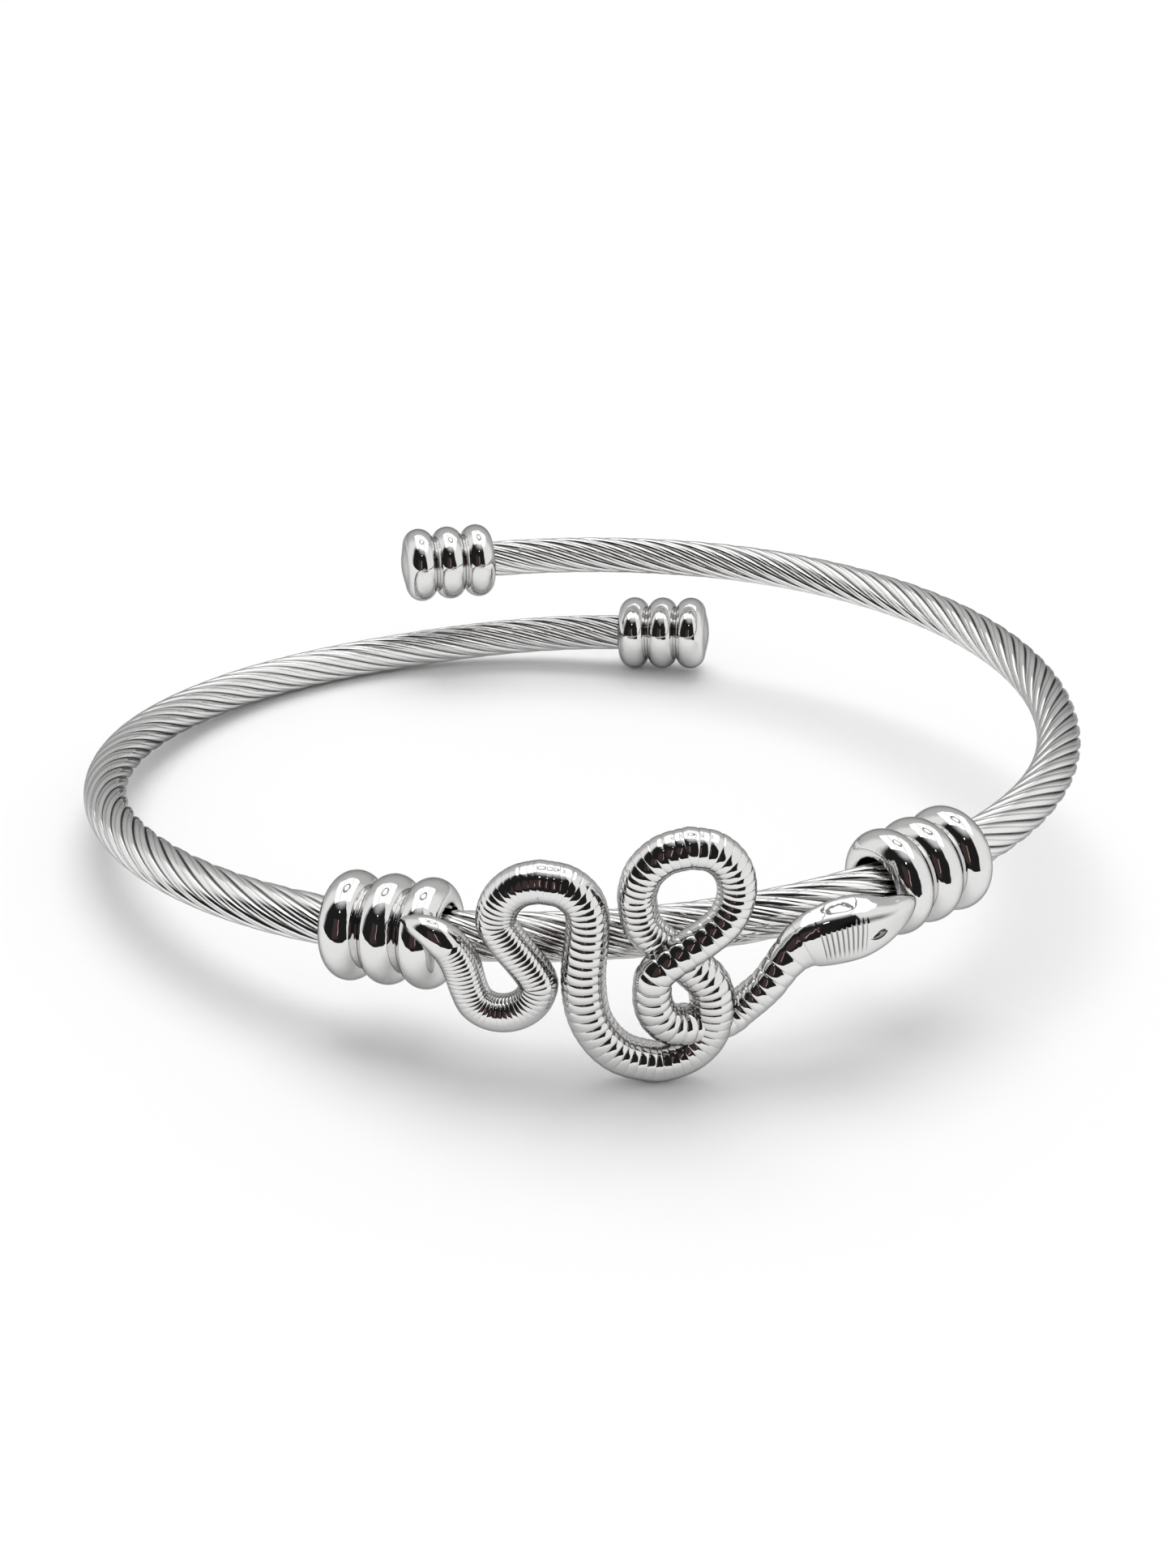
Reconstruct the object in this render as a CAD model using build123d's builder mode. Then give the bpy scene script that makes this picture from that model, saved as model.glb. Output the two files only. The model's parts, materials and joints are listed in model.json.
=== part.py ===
from build123d import *
from math import asin, ceil, cos, degrees, pi, radians, sin, sqrt
import os

os.makedirs("parts", exist_ok=True)

# Open cable bangle, as it rests by itself on a table. The ring's axis is Z, the snake
# is at the front (-Y), and the two cable ends pass each other at the back (+Y).
# Lengths are millimetres, angles are degrees round the ring: 0 at the front, positive
# to the right, negative to the left.

# Cable
cable_diameter = 2.8
ring_radius = 31.4
resting_climb = 9.0
strand_count = 10
strand_lay = 21.4
strand_groove = 0.2
sections_per_lay = 12

# Three-ring beads, soldered to the snake, and three-ring caps on the cable's ends
ring_pitch = 2.3
ring_round = 1.2
bead_diameter = 6.2
cap_diameter = 5.76
left_bead_angle = -18.05
right_bead_angle = 38.95
lower_cap_mouth = -185.4
upper_cap_mouth = 194.1
cap_dome = 0.3
cap_wall = 1.7

# Snake
snake_length = 27.1
snake_height = 12.8
body_girth = 2.3
rib_pitch = 0.52
rib_depth = 0.1
tail_rib_pitch = 0.34
body_sides = 12
bend_step = 32

# Where the relief starts and stops, as shares of the snake's length along its body
ribbed_from = 0.045
fine_ribs_to = 0.24
ribbed_to = 0.885
head_from = 0.87
head_thickness = 0.66
split_share = 0.62

# Clearances
bead_clearance = 0.35
cap_clearance = 0.1
snake_clearance = 0.16

# Sizes that follow
mm_per_degree = pi * ring_radius / 180
cable_radius = cable_diameter / 2
flute_sides = 2 * strand_count
bead_bore = cable_radius + bead_clearance
cap_bore = cable_radius + cap_clearance
cap_length = 2 * ring_pitch + 2 * ring_round
cap_grip = cap_length - cap_wall
sheet_offset = cable_radius + snake_clearance + body_girth / 2

# How the cable lies: angle, reach as a share of the ring's radius, height of its centre
# line above the lowest point as a share of the climb.
CABLE_STATIONS = [
    # angle, reach, height
    (-210, 0.996, 0.275),
    (-180, 1.010, 0.131),
    (-150, 1.018, 0.005),
    (-120, 1.016, 0.034),
    (-90, 1.006, 0.175),
    (-60, 1.001, 0.345),
    (-30, 1.000, 0.502),
    (0, 1.000, 0.662),
    (30, 1.006, 0.808),
    (60, 1.016, 0.930),
    (90, 1.006, 0.978),
    (120, 1.000, 1.000),
    (150, 0.996, 0.966),
    (180, 0.996, 0.884),
    (210, 0.998, 0.790),
]

# The snake's tail, tip first, on the sheet just in front of the cable: how far along the
# ring and how far up from the cable as shares of the snake's length and height, and its
# lift off the sheet and its thickness as shares of the girth.
TAIL = [
    # along, up, lift, girth
    (-0.312, 0.155, -0.11, 0.05),
    (-0.300, 0.156, -0.07, 0.23),
    (-0.278, 0.150, 0.04, 0.51),
    (-0.250, 0.136, 0.15, 0.72),
    (-0.226, 0.098, 0.13, 0.86),
    (-0.206, 0.040, 0.04, 0.92),
    (-0.191, -0.028, 0.00, 0.94),
]

# Its bends: centre and half size of each as shares of the snake's length (along) and
# height (up), the angles it runs through, and its lift and thickness at both ends.
BENDS = [
    # along, up, half_along, half_up, start, end, lift, end_lift, girth, end_girth
    (-0.112, -0.118, 0.064, 0.134, 190, 372, 0.00, 0.00, 0.91, 0.93),
    (-0.052, 0.199, 0.076, 0.166, 195, 90, 0.00, 0.00, 0.95, 1.02),
    (-0.052, 0.180, 0.089, 0.185, 90, 0, 0.00, 0.00, 1.02, 1.03),
    (0.181, -0.100, 0.147, 0.414, 180, 265, 0.00, 0.00, 1.07, 1.00),
    (0.188, -0.329, 0.087, 0.184, 280, 360, 0.00, 0.00, 1.00, 1.07),
    (0.205, -0.250, 0.069, 0.175, 5, 52, 0.00, 0.00, 1.08, 1.02),
    (0.210, 0.290, 0.088, 0.265, 244, 180, 0.00, 0.02, 0.94, 0.92),
    (0.210, 0.290, 0.088, 0.208, 180, 90, 0.02, 0.19, 0.92, 0.98),
    (0.210, 0.290, 0.088, 0.208, 90, -48, 0.19, 0.38, 0.98, 0.90),
    (0.225, -0.130, 0.069, 0.215, 155, 272, 0.42, 0.04, 0.90, 1.02),
    (0.287, -0.238, 0.062, 0.127, 262, 322, -0.10, -0.13, 0.93, 0.89),
]

# Its neck and head, snout last.
HEAD = [
    # along, up, lift, girth
    (0.377, -0.221, 0.00, 0.91),
    (0.395, -0.169, 0.00, 0.94),
    (0.412, -0.119, 0.00, 1.01),
    (0.428, -0.082, 0.00, 1.13),
    (0.446, -0.052, 0.02, 1.29),
    (0.470, -0.032, 0.06, 1.47),
    (0.499, -0.016, 0.13, 1.58),
    (0.528, -0.006, 0.19, 1.62),
    (0.558, -0.002, 0.24, 1.54),
    (0.588, 0.001, 0.26, 1.32),
    (0.616, 0.008, 0.25, 1.04),
    (0.639, 0.016, 0.21, 0.82),
    (0.658, 0.022, 0.16, 0.60),
    (0.672, 0.025, 0.11, 0.36),
    (0.681, 0.026, 0.08, 0.12),
]


def glide(rows, place):
    """Smooth row of a table at a place along its first column."""
    last = len(rows) - 2
    row = 0
    while row < last and rows[row + 1][0] < place:
        row += 1
    before = rows[max(row - 1, 0)]
    start = rows[row]
    end = rows[row + 1]
    after = rows[min(row + 2, last + 1)]
    span = end[0] - start[0]
    share = (place - start[0]) / span
    values = []
    for a, b, c, d in zip(before, start, end, after):
        slope_in = (c - a) / (end[0] - before[0]) * span
        slope_out = (d - b) / (after[0] - start[0]) * span
        square = share * share
        cube = square * share
        values.append(
            (2 * cube - 3 * square + 1) * b
            + (cube - 2 * square + share) * slope_in
            + (3 * square - 2 * cube) * c
            + (cube - square) * slope_out
        )
    return values


def cable_point(angle):
    """Point on the cable's centre line at an angle round the ring."""
    _, reach, height = glide(CABLE_STATIONS, angle)
    turn = radians(angle)
    radius = ring_radius * reach
    level = cable_radius + resting_climb * height
    return Vector(radius * sin(turn), -radius * cos(turn), level)


def cable_direction(angle):
    """Unit direction of the centre line, towards growing angles."""
    return (cable_point(angle + 0.5) - cable_point(angle - 0.5)).normalized()


def cable_route(distance):
    """Point at a length along the route from the front; straight inside the caps."""
    angle = distance / mm_per_degree
    held = min(max(angle, lower_cap_mouth), upper_cap_mouth)
    over = (angle - held) * mm_per_degree
    return cable_point(held) + cable_direction(held) * over


def outward(point):
    """Unit direction from the ring's axis to a point, level with the ground."""
    return Vector(point.X, point.Y, 0).normalized()


def snake_point(along, up, lift):
    """Point of the snake's sheet: along the ring, up from the cable, off the sheet."""
    base = cable_point(along * snake_length / mm_per_degree)
    reach = sheet_offset + lift * body_girth
    return base + outward(base) * reach + Vector(0, 0, up * snake_height)


def section(center, across, rise, half_across, half_rise, sides, swells=(1,)):
    """Closed ring of points round a centre; the swells repeat round it."""
    points = []
    for side in range(sides):
        turn = 2 * pi * side / sides
        swell = swells[side % len(swells)]
        points.append(
            center
            + across * (half_across * swell * cos(turn))
            + rise * (half_rise * swell * sin(turn))
        )
    return points


def facet(*corners):
    """One flat face through its corners."""
    return Face(Wire.make_polygon(corners, close=True))


def skin(rings):
    """Closed faceted solid through rings of equally many points."""
    facets = []
    for lower, upper in zip(rings, rings[1:]):
        for side in range(len(lower)):
            near = (side + 1) % len(lower)
            facets.append(facet(lower[side], lower[near], upper[near]))
            facets.append(facet(lower[side], upper[near], upper[side]))
    facets.append(facet(*rings[0]))
    facets.append(facet(*rings[-1]))
    return Solid(Shell(facets))


def bend_stations(bend):
    """Stations along one bend of the snake: along, up, lift, girth."""
    along, up, half_along, half_up, start, end, lift, end_lift, girth, end_girth = bend
    steps = max(1, ceil(abs(end - start) / bend_step))
    stations = []
    for step in range(steps + 1):
        share = step / steps
        turn = radians(start + (end - start) * share)
        stations.append((
            along + half_along * cos(turn),
            up + half_up * sin(turn),
            lift + (end_lift - lift) * share,
            girth + (end_girth - girth) * share,
        ))
    return stations


def snake_route():
    """The snake's stations from tail to snout, each with its length from the tip first."""
    stations = list(TAIL)
    for bend in BENDS:
        stations += bend_stations(bend)
    stations += HEAD
    route = [(0, *stations[0])]
    for earlier, later in zip(stations, stations[1:]):
        step_along = (later[0] - earlier[0]) * snake_length
        step_up = (later[1] - earlier[1]) * snake_height
        route.append((route[-1][0] + sqrt(step_along**2 + step_up**2), *later))
    return route


def body_section(route, place, relief):
    """Section of the snake at a length from the tail's tip, its relief cut inward."""
    _, along, up, lift, girth = glide(route, place)
    center = snake_point(along, up, lift)
    _, along, up, lift, _ = glide(route, place + 0.05)
    ahead = snake_point(along, up, lift) - center
    _, along, up, lift, _ = glide(route, place - 0.05)
    direction = (ahead + center - snake_point(along, up, lift)).normalized()
    away = outward(center)
    away = (away - direction * away.dot(direction)).normalized()
    side = direction.cross(away)
    half = max(girth * body_girth / 2 - relief, 0.04)
    head_share = min(max((place / route[-1][0] - head_from) / (1 - head_from) * 3, 0), 1)
    depth = half * (1 - (1 - head_thickness) * head_share)
    return section(center, away, side, depth, half, body_sides)


def body_places(length):
    """Places of the body's sections: a crown and a groove for each rib."""
    places = [(0, 0)]
    place = 0
    while place < length:
        ribbed = ribbed_from < place / length < ribbed_to
        pitch = tail_rib_pitch if place / length < fine_ribs_to else rib_pitch
        places.append((place + pitch / 2, rib_depth if ribbed else 0))
        places.append((place + pitch, 0))
        place += pitch
    return [(place, relief) for place, relief in places if place < length] + [(length, 0)]


def three_rings(diameter):
    """Outline of three rings side by side along X, from the near face to the far one."""
    crest = diameter / 2
    heart = crest - ring_round
    valley = heart + sqrt(ring_round**2 - (ring_pitch / 2) ** 2)
    near = -ring_pitch - ring_round
    ThreePointArc((near, heart), (-ring_pitch, crest), (-ring_pitch / 2, valley))
    ThreePointArc((-ring_pitch / 2, valley), (0, crest), (ring_pitch / 2, valley))
    ThreePointArc((ring_pitch / 2, valley), (ring_pitch, crest), (-near, heart))
    return near, heart


def bead_seat(angle):
    """Plane with X along the cable, at the middle of a bead's stretch of it."""
    middle = cable_point(angle)
    sag = (ring_pitch + ring_round) ** 2 / (4 * ring_radius)
    along = cable_direction(angle)
    return Plane(middle - outward(middle) * sag, along, along.cross(Vector(0, 0, 1)))


def cap_seat(mouth, sense):
    """Plane with X out of the cable's end, at the middle of the cap's rings."""
    along = cable_direction(mouth) * sense
    middle = cable_point(mouth) + along * (ring_pitch + ring_round)
    return Plane(middle, along, along.cross(Vector(0, 0, 1)))


def end_cap(seat):
    """Three-ring cap, bored from its near face, with a low dome at its far end."""
    with BuildPart() as cap:
        with BuildSketch(seat):
            with BuildLine():
                near, heart = three_rings(cap_diameter)
                dome_radius = (heart**2 + cap_dome**2) / (2 * cap_dome)
                dome_reach = degrees(asin(heart / dome_radius))
                top = cap_dome - near
                CenterArc((top - dome_radius, 0), dome_radius, 0, dome_reach)
                Polyline(
                    (top, 0),
                    (near + cap_grip, 0),
                    (near + cap_grip, cap_bore),
                    (near, cap_bore),
                    (near, heart),
                )
            make_face()
        revolve(axis=Axis(seat.origin, seat.x_dir))
    return cap


def bead(seat):
    """Three-ring bead with the cable's hole right through it."""
    with BuildPart() as barrel:
        with BuildSketch(seat):
            with BuildLine():
                near, heart = three_rings(bead_diameter)
                Polyline((-near, heart), (-near, bead_bore), (near, bead_bore), (near, heart))
            make_face()
        revolve(axis=Axis(seat.origin, seat.x_dir))
    return barrel


def cable_section(distance):
    """Fluted section of the cable at a length along its route, turned with the lay."""
    center = cable_route(distance)
    along = (cable_route(distance + 0.1) - cable_route(distance - 0.1)).normalized()
    away = outward(center)
    away = (away - along * away.dot(along)).normalized()
    rise = away.cross(along)
    turn = -2 * pi * distance / strand_lay
    across = away * cos(turn) + rise * sin(turn)
    over = rise * cos(turn) - away * sin(turn)
    swells = (1, 1 - strand_groove / cable_radius)
    return section(center, across, over, cable_radius, cable_radius, flute_sides, swells)


# The cable, from inside the lower cap to inside the upper one
cable_start = lower_cap_mouth * mm_per_degree - cap_grip + cap_clearance
cable_end = upper_cap_mouth * mm_per_degree + cap_grip - cap_clearance
cable_steps = ceil((cable_end - cable_start) / strand_lay * sections_per_lay)
cable_step = (cable_end - cable_start) / cable_steps
cable_rings = [cable_section(cable_start + cable_step * n) for n in range(cable_steps + 1)]

with BuildPart() as cable:
    add(skin(cable_rings))
cable.part.label = "cable"

# The caps on its two ends
end_cap_lower = end_cap(cap_seat(lower_cap_mouth, -1))
end_cap_lower.part.label = "end_cap_lower"
end_cap_upper = end_cap(cap_seat(upper_cap_mouth, 1))
end_cap_upper.part.label = "end_cap_upper"

# The snake crosses over itself, so it is made in two lengths that meet at the top of
# its upper loop, and soldered to its two beads
route = snake_route()
places = body_places(route[-1][0])
meeting = round(len(places) * split_share)
first_half = [body_section(route, *place) for place in places[: meeting + 1]]
second_half = [body_section(route, *place) for place in places[meeting:]]

with BuildPart() as snake_with_beads:
    add(skin(first_half))
    add(skin(second_half))
    add(bead(bead_seat(left_bead_angle)).part)
    add(bead(bead_seat(right_bead_angle)).part)
snake_with_beads.part.label = "snake_with_beads"

for piece in (cable, end_cap_lower, end_cap_upper, snake_with_beads):
    export_step(piece.part, f"parts/{piece.part.label}.step")
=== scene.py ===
# %% The frame
import json
from math import asin, cos, exp, pi, radians, sin, sqrt

import bmesh
import bpy
from mathutils import Matrix, Vector

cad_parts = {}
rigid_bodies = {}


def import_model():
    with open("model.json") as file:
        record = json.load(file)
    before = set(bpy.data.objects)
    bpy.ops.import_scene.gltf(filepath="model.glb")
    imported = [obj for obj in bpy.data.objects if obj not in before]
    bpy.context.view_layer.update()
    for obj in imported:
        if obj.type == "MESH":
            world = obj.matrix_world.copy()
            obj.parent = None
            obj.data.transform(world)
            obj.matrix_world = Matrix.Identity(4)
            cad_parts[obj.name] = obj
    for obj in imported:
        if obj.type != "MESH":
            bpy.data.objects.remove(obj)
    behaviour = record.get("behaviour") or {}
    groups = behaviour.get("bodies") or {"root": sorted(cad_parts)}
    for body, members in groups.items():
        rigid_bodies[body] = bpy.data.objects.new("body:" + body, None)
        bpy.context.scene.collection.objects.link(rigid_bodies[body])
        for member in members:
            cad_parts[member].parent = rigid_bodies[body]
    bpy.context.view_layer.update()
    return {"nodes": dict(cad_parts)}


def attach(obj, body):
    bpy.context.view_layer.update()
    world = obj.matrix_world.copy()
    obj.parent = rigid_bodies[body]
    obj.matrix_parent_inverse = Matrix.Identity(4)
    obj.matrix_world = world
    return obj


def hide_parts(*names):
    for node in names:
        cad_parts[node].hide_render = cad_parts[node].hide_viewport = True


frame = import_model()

MM = 0.001
print("nodes:", sorted(frame["nodes"]))

# %% [markdown]
# The camera comes first, so that every later piece can be looked at from the photograph's
# own side. Its numbers were found by laying the ring's outline over the photograph: how far
# the lens is from the ring, how far above it, and how much it leans. A lens written in
# pixels of the 1445 by 1935 picture becomes millimetres through the sensor's long side.

# %% Camera
PICTURE_HEIGHT = 1935
SENSOR_LONG_SIDE = 36.0
LENS_IN_PIXELS = 2675
CAMERA_AIM = Vector((0.67, 0, 2.81)) * MM
CAMERA_DISTANCE = 148.7 * MM
CAMERA_ELEVATION = radians(23.47)
CAMERA_LEAN = radians(2.42)
SEEN_FROM = 10 * MM
SEEN_TO = 20

camera_data = bpy.data.cameras.new("camera")
camera_data.sensor_width = SENSOR_LONG_SIDE
camera_data.lens = LENS_IN_PIXELS / PICTURE_HEIGHT * SENSOR_LONG_SIDE
camera_data.clip_start = SEEN_FROM
camera_data.clip_end = SEEN_TO
camera = bpy.data.objects.new("camera", camera_data)
bpy.context.scene.collection.objects.link(camera)

ahead = Vector((0, cos(CAMERA_ELEVATION), -sin(CAMERA_ELEVATION)))
level = Vector((1, 0, 0))
upward = level.cross(ahead)
leaning_right = level * cos(CAMERA_LEAN) + upward * sin(CAMERA_LEAN)
leaning_up = upward * cos(CAMERA_LEAN) - level * sin(CAMERA_LEAN)
turned = Matrix((leaning_right, leaning_up, -ahead)).transposed().to_4x4()
camera.matrix_world = Matrix.Translation(CAMERA_AIM - ahead * CAMERA_DISTANCE) @ turned
bpy.context.scene.camera = camera
print("camera at", [round(x, 4) for x in camera.matrix_world.translation])

# %% [markdown]
# Everything on the bangle follows one curve, the centre line of its cable. It is written as
# a short table: at each angle round the ring, how far out the cable lies and how high. A
# smooth curve through the rows gives the points between them, as it does in the part's
# source, so that what is made here lies where the solids are.

# %% The line of the cable
CABLE_RADIUS = 1.4
RING_RADIUS = 31.4
RESTING_CLIMB = 9.0
LOWER_CAP_MOUTH = -185.4
UPPER_CAP_MOUTH = 194.1
MM_PER_DEGREE = pi * RING_RADIUS / 180
DEGREES_LOOK = 0.5

CABLE_STATIONS = [
    # angle, reach, height
    (-210, 0.996, 0.275),
    (-180, 1.010, 0.131),
    (-150, 1.018, 0.005),
    (-120, 1.016, 0.034),
    (-90, 1.006, 0.175),
    (-60, 1.001, 0.345),
    (-30, 1.000, 0.502),
    (0, 1.000, 0.662),
    (30, 1.006, 0.808),
    (60, 1.016, 0.930),
    (90, 1.006, 0.978),
    (120, 1.000, 1.000),
    (150, 0.996, 0.966),
    (180, 0.996, 0.884),
    (210, 0.998, 0.790),
]


def glide(rows, place):
    """Smooth row of a table at a place along its first column."""
    last = len(rows) - 2
    row = 0
    while row < last and rows[row + 1][0] < place:
        row += 1
    before, start = rows[max(row - 1, 0)], rows[row]
    end, after = rows[row + 1], rows[min(row + 2, last + 1)]
    span = end[0] - start[0]
    share = (place - start[0]) / span
    square, cube = share**2, share**3
    values = []
    for a, b, c, d in zip(before, start, end, after):
        slope_in = (c - a) / (end[0] - before[0]) * span
        slope_out = (d - b) / (after[0] - start[0]) * span
        values.append(
            (2 * cube - 3 * square + 1) * b
            + (cube - 2 * square + share) * slope_in
            + (3 * square - 2 * cube) * c
            + (cube - square) * slope_out
        )
    return values


def cable_point(angle):
    """Point on the cable's centre line, in millimetres."""
    _, reach, height = glide(CABLE_STATIONS, angle)
    radius = RING_RADIUS * reach
    turn = radians(angle)
    climb = CABLE_RADIUS + RESTING_CLIMB * height
    return Vector((radius * sin(turn), -radius * cos(turn), climb))


def cable_direction(angle):
    """Unit direction of the centre line, towards growing angles."""
    return (cable_point(angle + DEGREES_LOOK) - cable_point(angle - DEGREES_LOOK)).normalized()


def cable_route(distance):
    """Point at a length along the route from the front; straight inside the caps."""
    angle = distance / MM_PER_DEGREE
    held = min(max(angle, LOWER_CAP_MOUTH), UPPER_CAP_MOUTH)
    over = (angle - held) * MM_PER_DEGREE
    return cable_point(held) + cable_direction(held) * over


def outward(point):
    """Unit direction from the ring's axis to a point, level with the ground."""
    return Vector((point.x, point.y, 0)).normalized()


print("front of the cable at", [round(x, 2) for x in cable_point(0)])

# %% [markdown]
# A long wire or a snake's body is a sheet rolled into a tube and bent along its line. So a
# flat grid is made, each of its points is moved to its place on the tube, and the seam is
# merged. A point is told by its row along the tube and its column round it. This keeps the
# faces even, which a mirror finish needs: a stray long face shows as a kink in a reflection.
# Each point also keeps how much painted shade it gets, as an attribute that the steel reads
# later: it darkens the colour in grooves, valleys and the eye, where shade or a dark
# reflection lies.

# %% Rolling a tube from a grid
TIDY_DISTANCE = 1e-8
HALF_GRID = 0.5
PAINTED_SHADE_LAYER = "painted_shade"


def add_piece(name, shape):
    """Puts a shaped bmesh into the scene as an object."""
    mesh = bpy.data.meshes.new(name)
    shape.to_mesh(mesh)
    shape.free()
    piece = bpy.data.objects.new(name, mesh)
    bpy.context.scene.collection.objects.link(piece)
    return piece


def finish_mesh(name, shape, body="root"):
    """Shaped bmesh to a smooth object that rides on a body."""
    bmesh.ops.remove_doubles(shape, verts=shape.verts, dist=TIDY_DISTANCE)
    bmesh.ops.recalc_face_normals(shape, faces=shape.faces)
    for face in shape.faces:
        face.smooth = True
    piece = add_piece(name, shape)
    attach(piece, body)
    print(name, "has", sum(len(p.vertices) - 2 for p in piece.data.polygons), "triangles")
    return piece


def roll_tube(rows, sides, place):
    """Closed tube of rows by sides; place(row, side) gives a point in mm and its painted
    shade.
    """
    shape = bmesh.new()
    shape.loops.layers.uv.new("along_and_round")
    painted_shade = shape.verts.layers.float.new(PAINTED_SHADE_LAYER)
    bmesh.ops.create_grid(
        shape, x_segments=rows - 1, y_segments=sides, size=HALF_GRID, calc_uvs=True
    )
    for vert in shape.verts:
        row = round((vert.co.x + HALF_GRID) * (rows - 1))
        side = round((vert.co.y + HALF_GRID) * sides) % sides
        point, vert[painted_shade] = place(row, side)
        vert.co = point * MM
    bmesh.ops.remove_doubles(shape, verts=shape.verts, dist=TIDY_DISTANCE)
    rims = [edge for edge in shape.edges if edge.is_boundary]
    bmesh.ops.holes_fill(shape, edges=rims, sides=0)
    return shape


# %% [markdown]
# The cable is ten steel strands laid round each other, once in about 21 millimetres. From
# outside each strand is a low, wide arch with a deep groove on either side, and a fine line
# where the two of its own wires that show there meet. The grooves are painted nearly black
# and the fine lines a little dark: painted shade, for the shade that falls in them. One round
# section with all these arches is turned a little more at every row, which lays the strands
# in their helix.

# %% Section of the cable
STRAND_COUNT = 10
STRAND_LAY = 21.4
STRAND_ARCH = 0.30
STRAND_SQUARENESS = 2.7
STRAND_REACH = 0.99
STRAND_EDGE_FROM = 0.8
WIRE_ARCH = 0.04
WIRE_PAINTED_SHADE = 0.4
ROWS_PER_LAY = 36
CAP_GRIP = 5.3
CAP_CLEARANCE = 0.1
WIRE_EDGES = (-1, 0.06, 1)
WIRE_PLACES = (-1, -0.86, -0.66, -0.36, 0, 0.36, 0.66, 0.86)
EDGE_PAINTED_SHADES = {1: 1, 0.86: 0.6, 0.66: 0.1}


def strand_drop(place, on_wire):
    """How far a strand's skin lies under the cable's round outline, in mm."""
    drop = STRAND_ARCH * (1 - sqrt(1 - (STRAND_REACH * abs(place)) ** STRAND_SQUARENESS))
    return drop + WIRE_ARCH * on_wire**4 * (1 - abs(place))


cable_outline = []
for strand in range(STRAND_COUNT):
    for low, high in zip(WIRE_EDGES, WIRE_EDGES[1:]):
        for on_wire in WIRE_PLACES:
            place = (low + high) / 2 + on_wire * (high - low) / 2
            turn = 2 * pi * (strand + place / 2) / STRAND_COUNT
            # Painted shade: darkest in the grooves at a strand's edges, faint where its wires
            # meet.
            painted_shade = EDGE_PAINTED_SHADES.get(abs(on_wire), 0)
            painted_shade *= 1 if abs(place) > STRAND_EDGE_FROM else WIRE_PAINTED_SHADE
            cable_outline.append((turn, CABLE_RADIUS - strand_drop(place, on_wire), painted_shade))
print("points round the cable:", len(cable_outline))

# %% [markdown]
# The cable itself is drawn straight from that section. It could be swept along a curve, but
# a sweep does not turn its section as the strands do. So one frame is worked out for each
# row of the tube: its centre on the line, the direction away from the ring, and how far the
# strands have been laid round by then. Both ends stop inside the caps.

# %% The cable
CABLE_LOOK = 0.1

cable_start = LOWER_CAP_MOUTH * MM_PER_DEGREE - CAP_GRIP + CAP_CLEARANCE
cable_end = UPPER_CAP_MOUTH * MM_PER_DEGREE + CAP_GRIP - CAP_CLEARANCE
cable_rows = round((cable_end - cable_start) / STRAND_LAY * ROWS_PER_LAY)
cable_frames = []
for row in range(cable_rows):
    distance = cable_start + (cable_end - cable_start) * row / (cable_rows - 1)
    center = cable_route(distance)
    along = cable_route(distance + CABLE_LOOK) - cable_route(distance - CABLE_LOOK)
    along.normalize()
    away = outward(center)
    away = (away - along * away.dot(along)).normalized()
    cable_frames.append((center, away, away.cross(along), -2 * pi * distance / STRAND_LAY))


def on_cable(row, side):
    """Point of the cable's skin."""
    center, away, rise, laid = cable_frames[row]
    turn, radius, painted_shade = cable_outline[side]
    turn += laid
    return center + away * (radius * cos(turn)) + rise * (radius * sin(turn)), painted_shade


cable = finish_mesh("twisted_cable", roll_tube(cable_rows, len(cable_outline), on_cable))
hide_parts("cable")

# %% [markdown]
# The beads and the end caps are turned pieces: three rings side by side on one axis. Each
# is a line of arcs spun once round that axis. The arcs are themselves spun from a single
# point, ring after ring, so that neighbouring rings meet in a sharp valley.

# %% Three rings, spun
RING_PITCH = 2.3
RING_ROUND = 1.2
BEAD_DIAMETER = 6.2
CAP_DIAMETER = 5.76
BEAD_CLEARANCE = 0.35
BEAD_BORE = CABLE_RADIUS + BEAD_CLEARANCE
CAP_BORE = CABLE_RADIUS + CAP_CLEARANCE
CAP_DOME = 0.3
DOME_BENDS = ((0.4, 0.75), (0.8, 0.4), (1, 0))
LIP_FROM = 0.06
LIP_TO = 0.16
LIP_RISE = 0.05
RING_MERGE = 1e-4
ARC_STEPS = 18
SPIN_STEPS = 96


def draw_on(shape, last, bends):
    """Draws a line on from a point through bends, each its x and its height in mm."""
    for x, height in bends:
        last = bmesh.ops.extrude_vert_indiv(shape, verts=[last])["verts"][0]
        last.co = (x, 0, height)


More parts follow.
